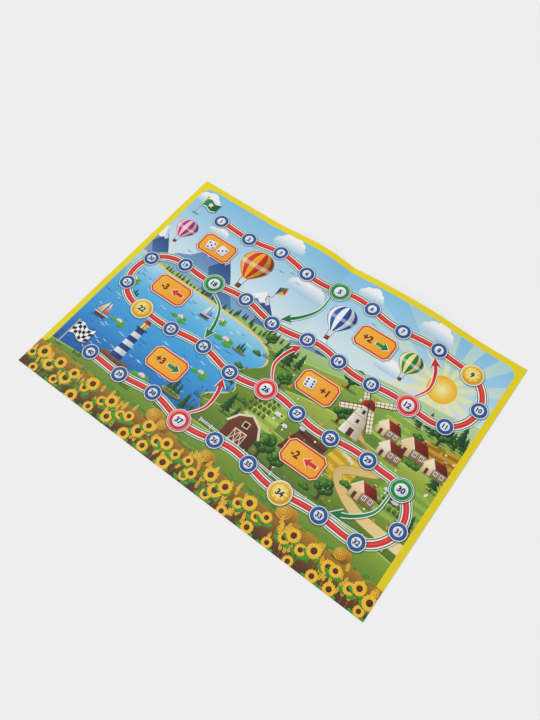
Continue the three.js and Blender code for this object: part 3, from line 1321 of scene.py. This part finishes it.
def finished_piece(name, mesh, tree, finish):
    values = {label: size * MM for label, size in ARCH.items()}
    values.update({"Fade Power": ARCH_FADE_POWER, "Finish": finish})
    shaped = mesh_from(name + "_flat", mesh, tree, values)
    shaped.name = name
    shaped.shade_smooth()
    shaped.set_sharp_from_angle(angle=SHARP_ANGLE)
    return held(name, shaped)


# Finishes. Grains are in waves to the metre.
# A rub is an axis, a place on it, and the run from bare to covered. A relief is a height and a strength.
EDGE_RUBS = (("X", HALF_LENGTH * MM, 0.0, -0.0004), ("Y", HALF_WIDTH * MM, 0.0, -0.0004))
CREASE_RUBS = (("X", 0.0, 0.0, 0.0005), EDGE_RUBS[1])
RUB_STRENGTH = 0.25
RUB_GRAIN = 700
INK_MOTTLE = 900
INK_TONES = (0.965, 1.03)
VARNISH_PATCHES = 60
VARNISH_ROUGHNESS = (0.36, 0.46)
SHEET_WAVES = 22
SHEET_RELIEF = (0.0012, 0.12)
COATING_TOOTH = 2600
COATING_RELIEF = (0.00004, 0.25)
PULP_FLECKS = 1800
PULP_TOOTH = 2400
PULP_RELIEF = (0.00006, 0.6)
PULP_TONES = ((0.36, 0.33, 0.28, 1), (0.62, 0.59, 0.52, 1))
LINER_FIBRES = 420
FIBRE_STRETCH = (1, 3.5, 1)
LINER_TOOTH = 1500
TOOTH_STRETCH = (1, 2.5, 1)
LINER_RELIEF = (0.00005, 0.5)
LINER_TONES = ((0.80, 0.785, 0.745, 1), (0.88, 0.87, 0.84, 1))
BACKDROP = (0.86, 0.86, 0.86, 1)

# The parts of a noise's range that are spread out.
WIDE_RANGE = (0.3, 0.7)
MIDDLE_RANGE = (0.35, 0.65)
RUB_RANGE = (0.48, 0.62)

# The colour sockets of a Mix node.
MIX_A, MIX_B, MIX_RESULT = 6, 7, 2


def on_piece(tree):
    return node(tree, "ShaderNodeTexCoord", {})["Object"]


def grain(tree, scale, detail, stretch=(1, 1, 1)):
    place = node(tree, "ShaderNodeMapping", {"Vector": on_piece(tree), "Scale": stretch})["Vector"]
    return node(tree, "ShaderNodeTexNoise", {"Vector": place, "Scale": scale, "Detail": detail})["Fac"]


def ranged(tree, value, low, high, to_low, to_high):
    spread = {"Value": value, "From Min": low, "From Max": high, "To Min": to_low, "To Max": to_high}
    return node(tree, "ShaderNodeMapRange", spread)["Result"]


def blended(tree, kind, share, tone_a, tone_b):
    tones = {"Factor": share, MIX_A: tone_a, MIX_B: tone_b}
    return node(tree, "ShaderNodeMix", tones, data_type="RGBA", blend_type=kind)[MIX_RESULT]


def bumped(tree, height, distance, strength, **under):
    relief = {"Height": height, "Distance": distance, "Strength": strength, **under}
    return node(tree, "ShaderNodeBump", relief)["Normal"]


def bared(tree, across, from_edge, start, stop):
    """How far the ink is rubbed off beside a line: broken by a fine grain, full at start and gone at stop."""
    away = maths(tree, "ABSOLUTE", node(tree, "ShaderNodeSeparateXYZ", {0: on_piece(tree)})[across])
    near = ranged(tree, away, from_edge + start, from_edge + stop, 1.0, 0.0)
    patches = ranged(tree, grain(tree, RUB_GRAIN, 4), *RUB_RANGE, 0.0, RUB_STRENGTH)
    return maths(tree, "MULTIPLY", near, patches)


def varnished_print(rubs, tree):
    """Varnished ink on coated paper, rubbed bare beside some lines."""
    tone = node(tree, "ShaderNodeAttribute", {}, attribute_name="print")["Color"]
    mottle = ranged(tree, grain(tree, INK_MOTTLE, 2), *WIDE_RANGE, *INK_TONES)
    tone = blended(tree, "MULTIPLY", 1.0, tone, mottle)
    for rub in rubs:
        tone = blended(tree, "MIX", bared(tree, *rub), tone, PAPER)
    waves = bumped(tree, grain(tree, SHEET_WAVES, 2), *SHEET_RELIEF)
    return {
        "Base Color": tone,
        "Roughness": ranged(tree, grain(tree, VARNISH_PATCHES, 4), *MIDDLE_RANGE, *VARNISH_ROUGHNESS),
        "Normal": bumped(tree, grain(tree, COATING_TOOTH, 2), *COATING_RELIEF, Normal=waves),
        "Specular IOR Level": 0.28,
        "Coat Weight": 0.03,
        "Coat Roughness": 0.22,
    }


def grey_pulp(tree):
    fleck = ranged(tree, grain(tree, PULP_FLECKS, 4), *MIDDLE_RANGE, 0.0, 1.0)
    return {
        "Base Color": blended(tree, "MIX", fleck, *PULP_TONES),
        "Roughness": 0.9,
        "Normal": bumped(tree, grain(tree, PULP_TOOTH, 3), *PULP_RELIEF),
    }


def white_liner(tree):
    fibre = ranged(tree, grain(tree, LINER_FIBRES, 5, FIBRE_STRETCH), *WIDE_RANGE, 0.0, 1.0)
    return {
        "Base Color": blended(tree, "MIX", fibre, *LINER_TONES),
        "Roughness": 0.78,
        "Normal": bumped(tree, grain(tree, LINER_TOOTH, 4, TOOTH_STRETCH), *LINER_RELIEF),
    }


def pale_table(tree):
    return {"Base Color": BACKDROP, "Roughness": 0.9, "Specular IOR Level": 0.1}


def new_finish(name, looks):
    """A finish whose shader gets the inputs that a function of looks gives for its tree."""
    finish = bpy.data.materials.new(name)
    finish.use_nodes = True
    tree = finish.node_tree
    plug(tree, tree.nodes["Principled BSDF"], looks(tree))
    return finish


# The pieces of the card.
def build_board():
    finishes = {
        "face_sheet": new_finish("printed_face", partial(varnished_print, EDGE_RUBS)),
        "core_board": new_finish("grey_pulp", grey_pulp),
        "back_liner": new_finish("white_liner", white_liner),
    }
    print_board(finishes["face_sheet"])
    points, triangles = cut_ink()
    inks = ink_corners(points, triangles)
    across = points[triangles].mean(1)[:, 0]
    parts = {"left": across < -CREASE_EDGE, "right": across > CREASE_EDGE}
    tree = arch_tree()
    for side, chosen in parts.items():
        printed = (points, triangles[chosen], inks[chosen])
        plain = (*plain_ply(side), None)
        for ply, (low, high) in PLY_LEVELS.items():
            top = printed if ply == "face_sheet" else plain
            mesh = ply_mesh(f"{side}_{ply}", *top, level_at(high), level_at(low))
            piece = finished_piece(f"{side}_{PIECE_NAMES[ply]}", mesh, tree, finishes[ply])
            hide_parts(f"{side}_{ply}")
            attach(piece, f"{side}_half")
            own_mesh(piece)
    fold = ~(parts["left"] | parts["right"])
    mesh = ply_mesh("crease", points, triangles[fold], inks[fold], bead, groove, CREASE_LINES[1:-1])
    rubbed = new_finish("rubbed_crease", partial(varnished_print, CREASE_RUBS))
    piece = finished_piece("printed_crease", mesh, tree, rubbed)
    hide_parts("crease_strip")
    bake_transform(piece)


# Camera, light and table, as in the photograph.
VIEW_AZIMUTH = math.radians(36.54)
VIEW_ELEVATION = math.radians(62.04)
VIEW_DISTANCE = 0.6928
AIM = Vector((0.015, 0.0186, 0.0))
FRAME_HEIGHT_PX = 720
LENS_PX = 683.1
OFF_CENTRE_PX = 24.89
SENSOR = 36.0
NEAREST = 0.01
STUDIO_GLOW = 0.56
KEY_STRENGTH = 1.55
KEY_AZIMUTH = math.radians(-60)
KEY_ELEVATION = math.radians(62)
KEY_SPREAD = math.radians(30)
KEY_DISTANCE = 1.6
TABLE_LEVEL = -0.0002
TABLE_HALF = 4


def aimed(holder, target, azimuth, elevation, distance):
    """Stands a camera or a lamp off its target, and turns it to face it."""
    level = math.cos(elevation)
    back = Vector((math.sin(azimuth) * level, -math.cos(azimuth) * level, math.sin(elevation)))
    holder.location = target + back * distance
    holder.rotation_euler = back.to_track_quat("Z", "Y").to_euler()


def stand_camera():
    lens = bpy.data.cameras.new("camera")
    lens.sensor_width = SENSOR
    lens.lens = LENS_PX * SENSOR / FRAME_HEIGHT_PX
    lens.shift_x = -OFF_CENTRE_PX / FRAME_HEIGHT_PX
    lens.clip_start = NEAREST
    camera = held("camera", lens)
    aimed(camera, AIM, VIEW_AZIMUTH, VIEW_ELEVATION, VIEW_DISTANCE)
    bpy.context.scene.camera = camera


def light_studio():
    """An even white studio with one soft key light, and a plain backdrop where the studio would be seen."""
    world = bpy.data.worlds.new("studio")
    world.use_nodes = True
    tree = world.node_tree
    studio = tree.nodes["Background"]
    plug(tree, studio, {"Color": (1, 1, 1, 1), "Strength": STUDIO_GLOW})
    backdrop = node(tree, "ShaderNodeBackground", {"Color": BACKDROP})
    ray = node(tree, "ShaderNodeLightPath", {})
    seen = ray["Is Camera Ray"]
    for kind in ("Is Glossy Ray", "Is Transmission Ray"):
        seen = maths(tree, "MAXIMUM", seen, ray[kind])
    shown = node(tree, "ShaderNodeMixShader", {0: seen, 1: studio.outputs[0], 2: backdrop[0]})
    plug(tree, tree.nodes["World Output"], {"Surface": shown[0]})
    bpy.context.scene.world = world
    key = bpy.data.lights.new("key", "SUN")
    key.energy = KEY_STRENGTH
    key.angle = KEY_SPREAD
    aimed(held("key", key), Vector(), KEY_AZIMUTH, KEY_ELEVATION, KEY_DISTANCE)
    bpy.context.scene.view_settings.view_transform = "Standard"


def lay_table():
    mesh = bpy.data.meshes.new("table")
    corners = [(*corner, TABLE_LEVEL) for corner in block(0, 0, 2 * TABLE_HALF, 2 * TABLE_HALF)]
    mesh.from_pydata(corners, [], [(0, 1, 2, 3)])
    mesh.materials.append(new_finish("pale_table", pale_table))
    held("table", mesh)


stand_camera()
light_studio()
lay_table()
build_board()
